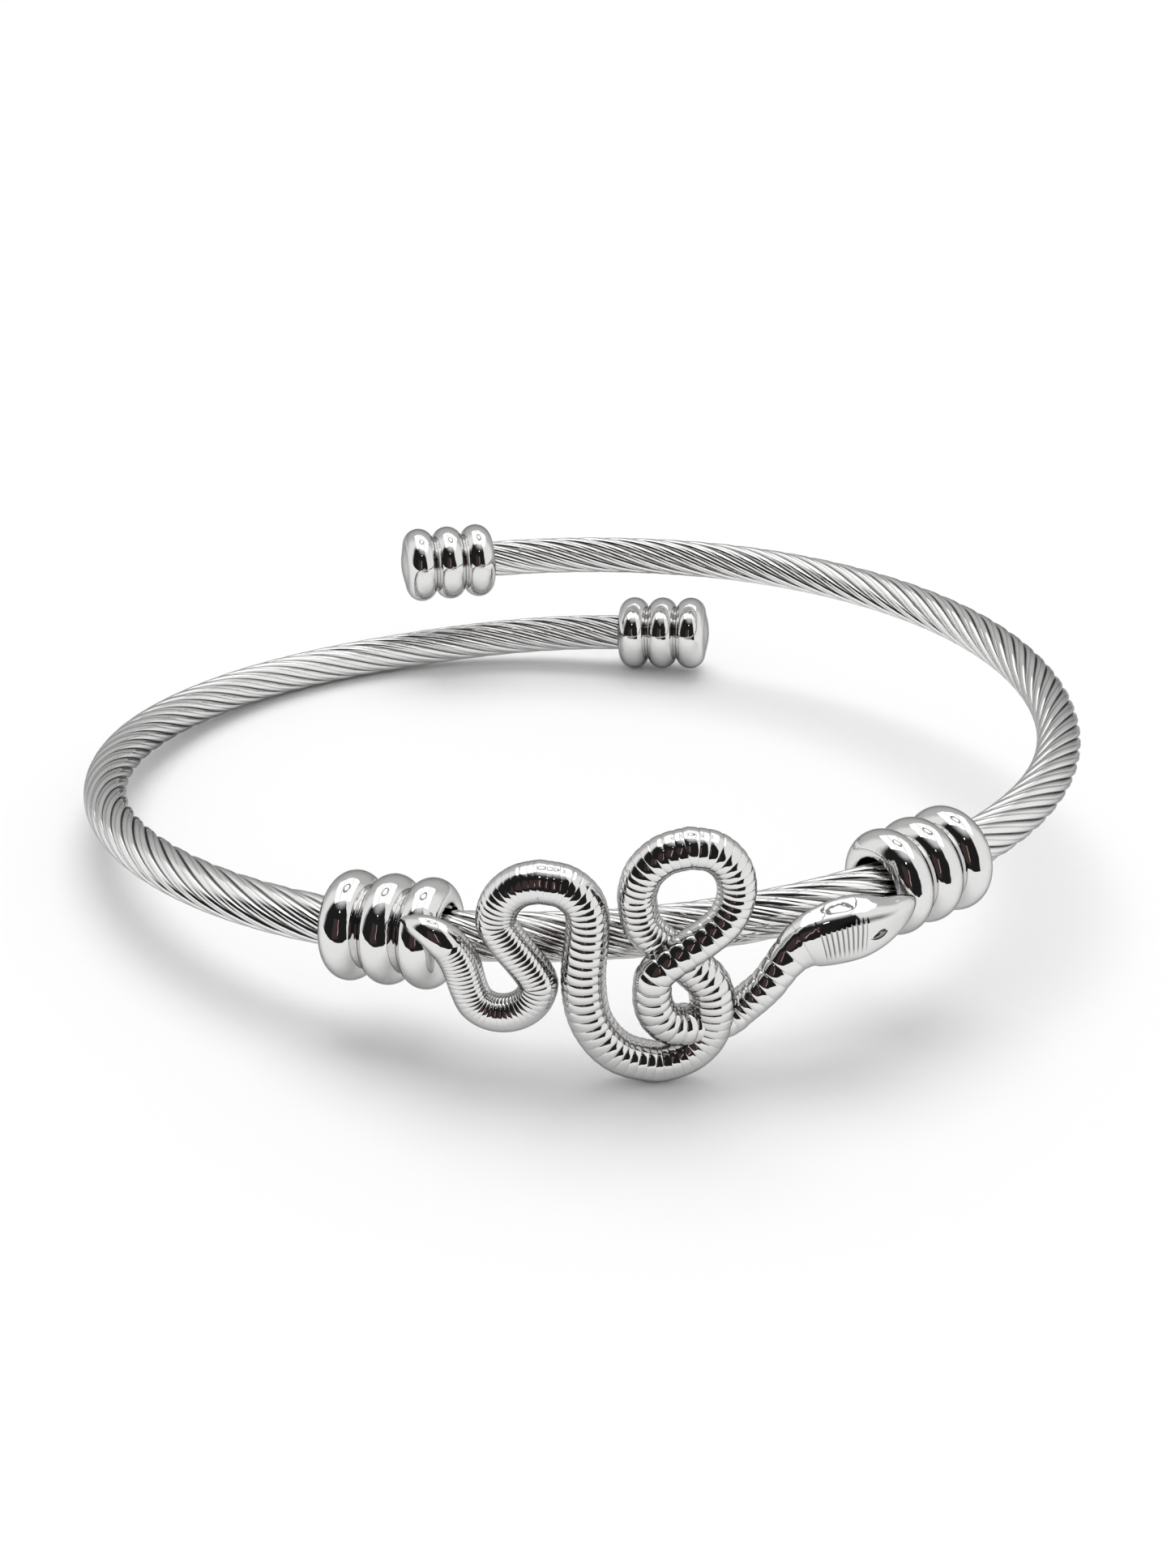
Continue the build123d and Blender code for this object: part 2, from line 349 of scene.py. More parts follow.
def spin_rings(diameter, bore, domed):
    """Three rings spun round X, in mm, with a bore and, for a cap, a low dome."""
    shape = bmesh.new()
    heart = diameter / 2 - RING_ROUND
    half_open = asin(RING_PITCH / 2 / RING_ROUND)
    last = shape.verts.new((-RING_PITCH - RING_ROUND, 0, heart))
    sweeps = [pi / 2 + half_open, 2 * half_open, pi / 2 + half_open]
    for ring, sweep in enumerate(sweeps):
        made = bmesh.ops.spin(
            shape,
            geom=[last],
            cent=((ring - 1) * RING_PITCH, 0, heart),
            axis=(0, 1, 0),
            angle=sweep,
            steps=ARC_STEPS,
        )
        last = next(item for item in made["geom_last"] if isinstance(item, bmesh.types.BMVert))
    far = RING_PITCH + RING_ROUND
    if domed:
        dome = [(far + CAP_DOME * out, heart * width) for out, width in DOME_BENDS]
        draw_on(shape, last, dome)
        first = min(shape.verts, key=lambda vert: (vert.co.x, vert.co.z))
        lip = [(LIP_FROM - far, bore + LIP_RISE), (LIP_TO - far, bore)]
        draw_on(shape, first, lip + [(CAP_GRIP - far, bore), (CAP_GRIP - far, 0)])
    else:
        lips = [(far - LIP_FROM, bore + LIP_RISE), (far - LIP_TO, bore)]
        lips += [(LIP_TO - far, bore), (LIP_FROM - far, bore + LIP_RISE)]
        draw_on(shape, last, lips + [(-far, heart)])
    bmesh.ops.remove_doubles(shape, verts=shape.verts, dist=RING_MERGE)
    bmesh.ops.spin(
        shape,
        geom=shape.verts[:] + shape.edges[:],
        cent=(0, 0, 0),
        axis=(1, 0, 0),
        angle=2 * pi,
        steps=SPIN_STEPS,
        use_merge=True,
    )
    bmesh.ops.remove_doubles(shape, verts=shape.verts, dist=RING_MERGE)
    return shape


def seat(shape, middle, along):
    """Turns a spun piece's X axis along the cable and sets it at a point, in metres."""
    over = along.cross(Vector((0, 0, 1))).normalized()
    turned = Matrix((along, over, along.cross(over))).transposed().to_4x4()
    place = Matrix.Scale(MM, 4) @ Matrix.Translation(middle) @ turned
    bmesh.ops.transform(shape, matrix=place, verts=shape.verts)
    return shape


# %% [markdown]
# A cap closes each end of the cable, so that its wires neither fray nor scratch. On the real
# bangle it is crimped or glued on. The two caps are one turned shape, set twice: each faces
# away from its own end of the cable, and its low dome is the side that the wrist may touch.

# %% The end caps
for node, mouth, sense in (
    ("end_cap_lower", LOWER_CAP_MOUTH, -1),
    ("end_cap_upper", UPPER_CAP_MOUTH, 1),
):
    along = cable_direction(mouth) * sense
    middle = cable_point(mouth) + along * (RING_PITCH + RING_ROUND)
    turned_cap = seat(spin_rings(CAP_DIAMETER, CAP_BORE, True), middle, along)
    cap = finish_mesh(node + "_polished", turned_cap)
    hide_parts(node)

# %% [markdown]
# The snake is one casting, soldered to the two beads that the cable runs through. Its body
# lies on a sheet just in front of the cable. The same short tables as in the part's source
# say where it bends: a bend is a piece of an ellipse, with its centre and half sizes as
# shares of the snake's length and height.

# %% The line of the snake
SNAKE_LENGTH = 27.1
SNAKE_HEIGHT = 12.8
BODY_GIRTH = 2.3
SNAKE_CLEARANCE = 0.16
BEND_STEP = 32
SHEET_OFFSET = CABLE_RADIUS + SNAKE_CLEARANCE + BODY_GIRTH / 2

TAIL = [
    # along, up, lift, girth
    (-0.312, 0.155, -0.11, 0.05),
    (-0.300, 0.156, -0.07, 0.23),
    (-0.278, 0.150, 0.04, 0.51),
    (-0.250, 0.136, 0.15, 0.72),
    (-0.226, 0.098, 0.13, 0.86),
    (-0.206, 0.040, 0.04, 0.92),
    (-0.191, -0.028, 0.00, 0.94),
]

BENDS = [
    # along, up, half_along, half_up, start, end, lift, end_lift, girth, end_girth
    (-0.112, -0.118, 0.064, 0.134, 190, 372, 0.00, 0.00, 0.91, 0.93),
    (-0.052, 0.199, 0.076, 0.166, 195, 90, 0.00, 0.00, 0.95, 1.02),
    (-0.052, 0.180, 0.089, 0.185, 90, 0, 0.00, 0.00, 1.02, 1.03),
    (0.181, -0.100, 0.147, 0.414, 180, 265, 0.00, 0.00, 1.07, 1.00),
    (0.188, -0.329, 0.087, 0.184, 280, 360, 0.00, 0.00, 1.00, 1.07),
    (0.205, -0.250, 0.069, 0.175, 5, 52, 0.00, 0.00, 1.08, 1.02),
    (0.210, 0.290, 0.088, 0.265, 244, 180, 0.00, 0.02, 0.94, 0.92),
    (0.210, 0.290, 0.088, 0.208, 180, 90, 0.02, 0.19, 0.92, 0.98),
    (0.210, 0.290, 0.088, 0.208, 90, -48, 0.19, 0.38, 0.98, 0.90),
    (0.225, -0.130, 0.069, 0.215, 155, 272, 0.42, 0.04, 0.90, 1.02),
    (0.287, -0.238, 0.062, 0.127, 262, 322, -0.10, -0.13, 0.93, 0.89),
]

HEAD = [
    # along, up, lift, girth
    (0.377, -0.221, 0.00, 0.91),
    (0.395, -0.169, 0.00, 0.94),
    (0.412, -0.119, 0.00, 1.01),
    (0.428, -0.082, 0.00, 1.13),
    (0.446, -0.052, 0.02, 1.29),
    (0.470, -0.032, 0.06, 1.47),
    (0.499, -0.016, 0.13, 1.58),
    (0.528, -0.006, 0.19, 1.62),
    (0.558, -0.002, 0.24, 1.54),
    (0.588, 0.001, 0.26, 1.32),
    (0.616, 0.008, 0.25, 1.04),
    (0.639, 0.016, 0.21, 0.82),
    (0.658, 0.022, 0.16, 0.60),
    (0.672, 0.025, 0.11, 0.36),
    (0.681, 0.026, 0.08, 0.12),
]


def bend_stations(bend):
    """Stations along one bend: along, up, lift, girth."""
    along, up, half_along, half_up, start, end, lift, end_lift, girth, end_girth = bend
    steps = max(1, -int(-abs(end - start) // BEND_STEP))
    stations = []
    for step in range(steps + 1):
        share = step / steps
        turn = radians(start + (end - start) * share)
        stations.append((
            along + half_along * cos(turn),
            up + half_up * sin(turn),
            lift + (end_lift - lift) * share,
            girth + (end_girth - girth) * share,
        ))
    return stations


def measured(stations):
    """The same stations, each with its length from the tail's tip first."""
    route = [(0, *stations[0])]
    for earlier, later in zip(stations, stations[1:]):
        step_along = (later[0] - earlier[0]) * SNAKE_LENGTH
        step_up = (later[1] - earlier[1]) * SNAKE_HEIGHT
        route.append((route[-1][0] + sqrt(step_along**2 + step_up**2), *later))
    return route


snake_stations = list(TAIL)
for bend in BENDS:
    snake_stations += bend_stations(bend)
snake_stations += HEAD
snake_route = measured(snake_stations)
snake_length = snake_route[-1][0]
print("the snake is", round(snake_length, 1), "mm long")


def snake_point(along, up, lift):
    """Point of the snake's sheet, in millimetres."""
    base = cable_point(along * SNAKE_LENGTH / MM_PER_DEGREE)
    reach = SHEET_OFFSET + lift * BODY_GIRTH
    return base + outward(base) * reach + Vector((0, 0, up * SNAKE_HEIGHT))


# %% [markdown]
# The body is cast with low ribs across it, finer towards the tail and coarse on the neck. A
# rib is flat on its crown and falls off into a sharp valley on either side. In a mirror
# finish this is what cuts the dark reflection into blocks and crescents, so the ribs are
# real shape and not a bump in the steel. Each valley also gets a line of painted shade. The
# side of the head has fine cut lines like a comb, painted dark as painted shade, under a
# thin dark line along the brow: a shallow groove with a painted dark reflection. A valley
# needs more rows of faces than a crown, so rows are placed rib by rib. The table gives each
# part of the body its pitch, its depth and how flat the crowns are.

# %% Ribs along the body
RIBS = [
    # share of the length, distance between grooves in mm, depth as a share, flatness
    (0.000, 0.27, 0.90, 3.0),
    (0.075, 0.27, 0.75, 3.0),
    (0.115, 0.28, 0.75, 3.0),
    (0.155, 0.28, 1.00, 3.0),
    (0.205, 0.30, 0.80, 3.0),
    (0.230, 0.32, 0.35, 3.5),
    (0.252, 0.34, 0.45, 3.5),
    (0.275, 0.40, 0.95, 3.0),
    (0.300, 0.51, 1.00, 3.0),
    (0.350, 0.55, 1.00, 3.0),
    (0.400, 0.47, 0.75, 4.0),
    (0.430, 0.44, 0.50, 5.5),
    (0.465, 0.46, 0.60, 5.0),
    (0.485, 0.52, 1.10, 3.5),
    (0.520, 0.44, 1.20, 3.0),
    (0.560, 0.38, 1.20, 3.0),
    (0.600, 0.41, 0.90, 3.5),
    (0.640, 0.45, 0.80, 4.0),
    (0.690, 0.42, 0.90, 3.5),
    (0.715, 0.60, 0.75, 4.0),
    (0.755, 0.68, 0.85, 4.0),
    (0.775, 0.62, 1.20, 3.0),
    (0.850, 0.52, 1.30, 3.0),
    (0.862, 0.40, 0.90, 3.5),
    (0.880, 0.62, 0.85, 3.5),
    (0.905, 0.80, 0.80, 3.5),
    (0.918, 0.80, 0.30, 4.5),
    (1.000, 0.80, 0.30, 4.5),
]
RIBBED_FROM = 0.037
RIBBED_TO = 0.918
COMB_FROM = 0.923
COMB_TO = 0.954
COMB_PITCH = 0.235
RIB_CROWN = 0.10
RIB_LINE_PAINTED_SHADE = 0.3
UNDERSIDE_RELIEF = 0.5
UNDERSIDE_FROM = -0.55
UNDERSIDE_SOFT = 0.4
SMOOTH_TAIL_TO = 0.26
SMOOTH_TAIL_SOFT = 0.02
COMB_DEPTH = 0.045
COMB_WIDTH = 0.16
RIB_ROWS = (0, 0.05, 0.15, 0.30, 0.50, 0.70, 0.85, 0.95)
PLAIN_STEP = 0.12
MID_RIB = 0.5
BODY_SIDES = 48

snake_rows = []
place = 0.0
while place < snake_length:
    share = place / snake_length
    _, pitch, deep, flatness = glide(RIBS, share)
    ribbed = RIBBED_FROM < share < RIBBED_TO
    combed = COMB_FROM < share < COMB_TO
    if ribbed or combed:
        pitch = COMB_PITCH if combed else pitch
        kind = "comb" if combed else "rib"
        for part in RIB_ROWS:
            away_share = min(part, 1 - part)
            hollow = RIB_CROWN * deep * pitch * (1 - 2 * away_share) ** flatness
            snake_rows.append((place + part * pitch, kind, away_share, hollow))
        place += pitch
    else:
        snake_rows.append((place, "plain", MID_RIB, 0))
        place += PLAIN_STEP
snake_rows = [row for row in snake_rows if row[0] < snake_length]
snake_rows.append((snake_length, "plain", MID_RIB, 0))
print("rows along the snake:", len(snake_rows))

# %% [markdown]
# The body is round. The head is wider than deep, and squarer: a flat top and a flat side
# meet in a soft ridge, which is why the dark reflection narrows to a thin band there. The
# section is a circle whose power grows from two to three and a half, turned so that its
# corner lies on the ridge.

# %% The snake's body and head
HEAD_FROM = 0.87
HEAD_THICKNESS = 0.66
FLATTEN_PACE = 3
RIDGE_FROM = 0.905
RIDGE_FULL = 0.945
SNOUT_FROM = 0.975
RIDGE_TURN = radians(34)
RIDGE_POWER = 1.5
RIDGE_SWELL = 0.10
COMB_TOP = 28
COMB_LOW = -38
COMB_TOP_SOFT = 6
COMB_LOW_SOFT = 16
BROW_TURN = 30
BROW_HALF = 7.5
BROW_FROM = 0.936
BROW_TO = 0.978
BROW_RISE = 0.008
BROW_FALL = 0.014
BROW_DEPTH = 0.02
BROW_PAINTED_REFLECTION = 0.92
BODY_LOOK = 0.05
LEAST_HALF_GIRTH = 0.04
LEAST_RADIUS = 0.02


def clamp(value):
    """Value held between 0 and 1."""
    return min(max(value, 0), 1)


def snake_frame(place):
    """Center, directions and half girth of the body at a length from the tail's tip."""
    _, along, up, lift, girth = glide(snake_route, place)
    center = snake_point(along, up, lift)
    _, along, up, lift, _ = glide(snake_route, place + BODY_LOOK)
    ahead = snake_point(along, up, lift) - center
    _, along, up, lift, _ = glide(snake_route, place - BODY_LOOK)
    direction = (ahead + center - snake_point(along, up, lift)).normalized()
    away = outward(center)
    away = (away - direction * away.dot(direction)).normalized()
    half = max(girth * BODY_GIRTH / 2, LEAST_HALF_GIRTH)
    return center, away, away.cross(direction), half


snake_frames = [snake_frame(row[0]) for row in snake_rows]


def ridge_radius(turn, share):
    """Radius of the section, 1 for a circle, with a soft ridge on the head."""
    ridge = clamp((share - RIDGE_FROM) / (RIDGE_FULL - RIDGE_FROM))
    ridge *= clamp((1 - share) / (1 - SNOUT_FROM))
    power = 2 + RIDGE_POWER * ridge
    tilt = turn - RIDGE_TURN + pi / 4
    square = (abs(cos(tilt)) ** power + abs(sin(tilt)) ** power) ** (-1 / power)
    return square / (1 + RIDGE_SWELL * ridge)


def relief(row, turn, facing):
    """How deep the skin is cut under the plain body, in mm, and how much painted shade it
    gets.
    """
    place, kind, away_share, hollow = row
    share = place / snake_length
    angle = (turn * 180 / pi + 180) % 360 - 180
    # The brow line is a painted dark reflection over a shallow groove.
    brow = clamp(1 - abs(angle - BROW_TURN) / BROW_HALF)
    brow *= clamp((share - BROW_FROM) / BROW_RISE) * clamp((BROW_TO - share) / BROW_FALL)
    if kind == "plain":
        return BROW_DEPTH * brow, BROW_PAINTED_REFLECTION * brow
    if kind == "comb":
        # Comb lines: real cuts, painted dark as painted shade.
        mask = clamp((COMB_TOP - angle) / COMB_TOP_SOFT)
        mask *= clamp((angle - COMB_LOW) / COMB_LOW_SOFT)
        painted_shade = mask * exp(-((away_share / COMB_WIDTH) ** 2))
        return max(COMB_DEPTH * painted_shade, BROW_DEPTH * brow), max(painted_shade, BROW_PAINTED_REFLECTION * brow)
    past_tail = (share - SMOOTH_TAIL_TO + SMOOTH_TAIL_SOFT) / (2 * SMOOTH_TAIL_SOFT)
    least = UNDERSIDE_RELIEF * clamp(past_tail)
    fade = least + (1 - least) * clamp((facing.z - UNDERSIDE_FROM) / UNDERSIDE_SOFT)
    # A line of painted shade along each valley.
    line = RIB_LINE_PAINTED_SHADE * fade**2 if away_share == 0 else 0
    return hollow * fade, line


def on_snake(row, side):
    """Point of the snake's skin."""
    center, away, over, half = snake_frames[row]
    share = snake_rows[row][0] / snake_length
    turn = 2 * pi * side / BODY_SIDES
    facing = away * cos(turn) + over * sin(turn)
    deep, painted_shade = relief(snake_rows[row], turn, facing)
    radius = max(half * ridge_radius(turn, share) - deep, LEAST_RADIUS)
    head_share = clamp((share - HEAD_FROM) / (1 - HEAD_FROM) * FLATTEN_PACE)
    depth = 1 - (1 - HEAD_THICKNESS) * head_share
    point = center + away * (radius * depth * cos(turn)) + over * (radius * sin(turn))
    return point, painted_shade


snake_shape = roll_tube(len(snake_rows), BODY_SIDES, on_snake)

# %% [markdown]
# The eye is a small almond in a raised rim on the side of the head, towards the snout. A
# ball and a ring are pressed flat, drawn out to two corners and set on the skin. Both are
# painted dark, the rim darkest: painted shade.

# %% The eye
EYE_PLACE = 0.962
EYE_TURN = radians(-8)
EYE_LENGTH = 0.46
EYE_HEIGHT = 0.17
EYE_TILT = radians(14)
EYE_BULGE = 0.10
EYE_CORNER = 0.75
RIM_THICKNESS = 0.04
RIM_CORNER = 0.6
RIM_OFF = 0.05
EYE_PAINTED_SHADE = 0.75
EYE_RIM_PAINTED_SHADE = 1.0


def join_shape(target, shape, painted_shade=0.0):
    """Adds a bmesh to another one, with one painted shade for all its points."""
    layer = shape.verts.layers.float.new(PAINTED_SHADE_LAYER)
    for vert in shape.verts:
        vert[layer] = painted_shade
    mesh = bpy.data.meshes.new("joined")
    shape.to_mesh(mesh)
    shape.free()
    target.from_mesh(mesh)
    bpy.data.meshes.remove(mesh)


center, away, over, half = snake_frame(EYE_PLACE * snake_length)
direction = over.cross(away)
radius = half * ridge_radius(EYE_TURN, EYE_PLACE)
eye_point = center + away * (radius * HEAD_THICKNESS * cos(EYE_TURN))
eye_point += over * (radius * sin(EYE_TURN))
eye_along = direction * cos(EYE_TILT) + over * sin(EYE_TILT)
eye_over = over * cos(EYE_TILT) - direction * sin(EYE_TILT)
eye_turned = Matrix((eye_along, eye_over, eye_along.cross(eye_over))).transposed().to_4x4()
eye_seat = Matrix.Scale(MM, 4) @ Matrix.Translation(eye_point) @ eye_turned

eye_ball = bmesh.new()
bmesh.ops.create_uvsphere(eye_ball, u_segments=32, v_segments=16, radius=1)
for vert in eye_ball.verts:
    corner = 1 - EYE_CORNER * abs(vert.co.x) ** 3
    high = vert.co.y * EYE_HEIGHT * corner
    vert.co = (vert.co.x * EYE_LENGTH, high, vert.co.z * EYE_BULGE)
bmesh.ops.transform(eye_ball, matrix=eye_seat, verts=eye_ball.verts)
# The eye ball is painted dark: painted shade.
join_shape(snake_shape, eye_ball, EYE_PAINTED_SHADE)

eye_rim = bmesh.new()
bmesh.ops.create_circle(
    eye_rim,
    segments=10,
    radius=RIM_THICKNESS,
    matrix=Matrix.Translation((1, 0, 0)) @ Matrix.Rotation(pi / 2, 4, "X"),
)
bmesh.ops.spin(
    eye_rim,
    geom=eye_rim.verts[:] + eye_rim.edges[:],
    cent=(0, 0, 0),
    axis=(0, 0, 1),
    angle=2 * pi,
    steps=48,
    use_merge=True,
)
for vert in eye_rim.verts:
    reach = Vector((vert.co.x, vert.co.y, 0)).length
    across, rise = vert.co.x / reach, vert.co.y / reach
    corner = 1 - RIM_CORNER * abs(across) ** 3
    vert.co.x = across * (EYE_LENGTH + RIM_OFF + reach - 1)
    vert.co.y = rise * corner * (EYE_HEIGHT + RIM_OFF + reach - 1)
bmesh.ops.transform(eye_rim, matrix=eye_seat, verts=eye_rim.verts)
# The rim is painted darkest: painted shade.
join_shape(snake_shape, eye_rim, EYE_RIM_PAINTED_SHADE)

# %% [markdown]
# The snake hangs on the cable by two beads: the tail ends in one and the snout in the other.
# They are soldered to it, so beads and snake are one piece, and one mesh here. A straight
# bore has to clear a bent cable, so each bead's middle is moved a little towards the ring's
# axis, by half of what the cable bends away from straight inside the bead.

# %% The beads, joined to the snake
LEFT_BEAD_ANGLE = -18.05
RIGHT_BEAD_ANGLE = 38.95

for angle in (LEFT_BEAD_ANGLE, RIGHT_BEAD_ANGLE):
    middle = cable_point(angle)
    sag = (RING_PITCH + RING_ROUND) ** 2 / (4 * RING_RADIUS)
    bead = spin_rings(BEAD_DIAMETER, BEAD_BORE, False)
    seat(bead, middle - outward(middle) * sag, cable_direction(angle))
    join_shape(snake_shape, bead)

snake = finish_mesh("snake_and_beads", snake_shape)
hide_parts("snake_with_beads")

# %% [markdown]
# Everything is bare stainless steel. The casting and the caps are polished to a mirror, and
# a mirror shows its room more than itself: what makes it believable is a very slight
# waviness left by hand polishing. A small node group makes it from soft noise, and both
# steels share it. The wires of the cable are drawn, so theirs is stretched along them.

# %% Steel
def link(tree, output, shader_input):
    """Feeds a node's output, or a plain number, to an input."""
    if isinstance(output, (int, float)):
        shader_input.default_value = output
    else:
        tree.links.new(output, shader_input)


def polish_group():
    """Node group: soft waviness, from coordinates, a scale and a depth."""
    group = bpy.data.node_groups.new("hand_polish", "ShaderNodeTree")
    for name, kind, way in (
        ("Vector", "NodeSocketVector", "INPUT"),
        ("Scale", "NodeSocketFloat", "INPUT"),
        ("Depth", "NodeSocketFloat", "INPUT"),
        ("Normal", "NodeSocketVector", "OUTPUT"),
        ("Wear", "NodeSocketFloat", "OUTPUT"),
    ):
        group.interface.new_socket(name=name, in_out=way, socket_type=kind)
    inside = group.nodes.new("NodeGroupInput")
    outside = group.nodes.new("NodeGroupOutput")
    noise = group.nodes.new("ShaderNodeTexNoise")
    noise.inputs["Detail"].default_value = 2
    bump = group.nodes.new("ShaderNodeBump")
    group.links.new(inside.outputs["Vector"], noise.inputs["Vector"])
    group.links.new(inside.outputs["Scale"], noise.inputs["Scale"])
    group.links.new(inside.outputs["Depth"], bump.inputs["Distance"])
    group.links.new(noise.outputs["Fac"], bump.inputs["Height"])
    group.links.new(bump.outputs["Normal"], outside.inputs["Normal"])
    group.links.new(noise.outputs["Fac"], outside.inputs["Wear"])
    return group


hand_polish = polish_group()
# Share of its colour that painted shade leaves where a point is painted fully dark.
GROOVE_SHADE = 0.12
EDGE_TINT = 0.35


def steel(name, base, low, high, coordinate, stretch, scale, depth):
    """Steel whose roughness runs from low to high with its wear; painted shade darkens it."""
    material = bpy.data.materials.new(name)
    material.use_nodes = True
    tree = material.node_tree
    shader = tree.nodes["Principled BSDF"]
    shader.inputs["Metallic"].default_value = 1
    shader.inputs["Specular Tint"].default_value = (EDGE_TINT, EDGE_TINT, EDGE_TINT, 1)
    place = tree.nodes.new("ShaderNodeTexCoord")
    mapping = tree.nodes.new("ShaderNodeMapping")
    mapping.inputs["Scale"].default_value = stretch
    # Painted shade: the colour darkens towards a small share of itself where a point carries
    # it.
    painted_shade = tree.nodes.new("ShaderNodeAttribute")
    painted_shade.attribute_name = PAINTED_SHADE_LAYER
    painted_shade_mix = tree.nodes.new("ShaderNodeMix")
    painted_shade_mix.data_type = "RGBA"
    painted_shade_mix.inputs["A"].default_value = (*base, 1)
    painted_shade_mix.inputs["B"].default_value = (*(GROOVE_SHADE * level for level in base), 1)
    tree.links.new(painted_shade.outputs["Fac"], painted_shade_mix.inputs["Factor"])
    tree.links.new(painted_shade_mix.outputs["Result"], shader.inputs["Base Color"])
    wear = tree.nodes.new("ShaderNodeGroup")
    wear.node_tree = hand_polish
    wear.inputs["Scale"].default_value = scale
    wear.inputs["Depth"].default_value = depth
    spread = tree.nodes.new("ShaderNodeMapRange")
    spread.inputs["To Min"].default_value = low
    spread.inputs["To Max"].default_value = high
    tree.links.new(place.outputs[coordinate], mapping.inputs["Vector"])
    tree.links.new(mapping.outputs["Vector"], wear.inputs["Vector"])
    tree.links.new(wear.outputs["Normal"], shader.inputs["Normal"])
    tree.links.new(wear.outputs["Wear"], spread.inputs["Value"])
    tree.links.new(spread.outputs["Result"], shader.inputs["Roughness"])
    return material


polished = steel(
    "polished_steel",
    base=(0.76, 0.755, 0.75),
    low=0.01,
    high=0.05,
    coordinate="Object",
    stretch=(1, 1, 1),
    scale=900,
    depth=3.5e-5,
)
wire = steel(
    "wire_steel",
    base=(0.84, 0.835, 0.83),
    low=0.03,
    high=0.11,
    coordinate="UV",
    stretch=(60, 90, 1),
    scale=1,
    depth=6e-6,
)
for piece in bpy.context.scene.objects:
    if piece.type == "MESH" and piece.name in ("twisted_cable", "snake_and_beads"):
        piece.data.materials.append(wire if piece.name == "twisted_cable" else polished)
    elif piece.type == "MESH" and piece.name.endswith("_polished"):
        piece.data.materials.append(polished)
for name, node in frame["nodes"].items():
    node.data.materials.clear()
    node.data.materials.append(wire if name == "cable" else polished)

# %% [markdown]
# A mirror needs a room. The photograph's room can be read in the beads: a wide softbox in
# three panels overhead, a dark front with a warm patch, pale walls left, right and behind,
# and a small lamp. All of it is one large sphere seen only in reflections, whose glow is
# worked out from the direction: azimuth and elevation are in degrees from the bangle. The
# softbox is flat, so its edges are slopes: how far aside or back for each length up.

# %% The room that the steel mirrors
ROOM_RADIUS = 0.42
ROOM_CENTER = (0.003, -0.03, 0.0)
FLOOR_EDGE = -0.067
WALL = 0.60
SIDE_WALL = 0.97
DARK = 0.016
DARK_LEFT = -85
DARK_RIGHT = 44
DARK_LEFT_SOFT = 9
DARK_RIGHT_SOFT = 3
DARK_TO = 50
GLOW_FROM = 77
GLOW = 0.8
SIDE_WALL_TO = 125
SIDE_WALL_SOFT = 12
FAR_LEFT = -180
PAST_BEHIND = 400
# low edge, high edge, softness
PATCH_AZIMUTH = (-34, -2, 3)
PATCH_ELEVATION = (-4, 34, 2)
PATCH_WARMTH = (3.4, 2.4, 2.3)
SLIT_AZIMUTH = (-7, -5, 0.4)
SLIT_ELEVATION = (4, 34, 1)
# brightness of the slit, and where the lamp is and how far it reaches
SLIT = 0.22
LAMP_ELEVATION = 50
LAMP_AZIMUTH = -7
LAMP_NARROW = 0.64
LAMP_FULL_TO = 1.3
LAMP_TO = 1.9
LAMP = 5.0
SOFTBOX = 1.55
SOFTBOX_SIDE = 0.74
SOFTBOX_FRONT = -0.23
SOFTBOX_BACK = 0.93
SOFTBOX_SOFT = 0.01
SOFTBOX_SHADE = 0.3
PANEL_GAP_AT = 0.25
PANEL_GAP_HALF = 0.013
PANEL_GAP_SOFT = 0.004
RING_LAMP_AT = 0.25
RING_LAMP_RADIUS = 0.18
RING_LAMP_HALF = 0.04
RING_LAMP_SOFT = 0.012
LEAST_HEIGHT = 0.001

room = bmesh.new()
bmesh.ops.create_uvsphere(room, u_segments=96, v_segments=48, radius=ROOM_RADIUS)
bmesh.ops.translate(room, verts=room.verts, vec=ROOM_CENTER)
room_piece = add_piece("mirrored_room", room)
room_piece.visible_camera = False
room_piece.visible_diffuse = False
room_piece.visible_shadow = False

glow_material = bpy.data.materials.new("mirrored_room")
glow_material.use_nodes = True
room_tree = glow_material.node_tree
room_tree.nodes.clear()
room_piece.data.materials.append(glow_material)


def calc(operation, first, second=0.0):
    """Math node on numbers or outputs; gives its output."""
    node = room_tree.nodes.new("ShaderNodeMath")
    node.operation = operation
    link(room_tree, first, node.inputs[0])
    link(room_tree, second, node.inputs[1])
    return node.outputs[0]


def ramp(value, low, high):
    """0 below low, 1 above high, smooth between."""
    node = room_tree.nodes.new("ShaderNodeMapRange")
    node.interpolation_type = "SMOOTHSTEP"
    link(room_tree, value, node.inputs["Value"])
    node.inputs["From Min"].default_value = low
    node.inputs["From Max"].default_value = high
    return node.outputs[0]


def between(value, low, high, soft):
    """1 between two edges, with soft sides."""
    falling = calc("SUBTRACT", 1, ramp(value, high - soft, high + soft))
    return calc("MULTIPLY", ramp(value, low - soft, low + soft), falling)


def blend(share, below, above):
    """Mixes two brightnesses."""
    return calc("ADD", below, calc("MULTIPLY", share, calc("SUBTRACT", above, below)))


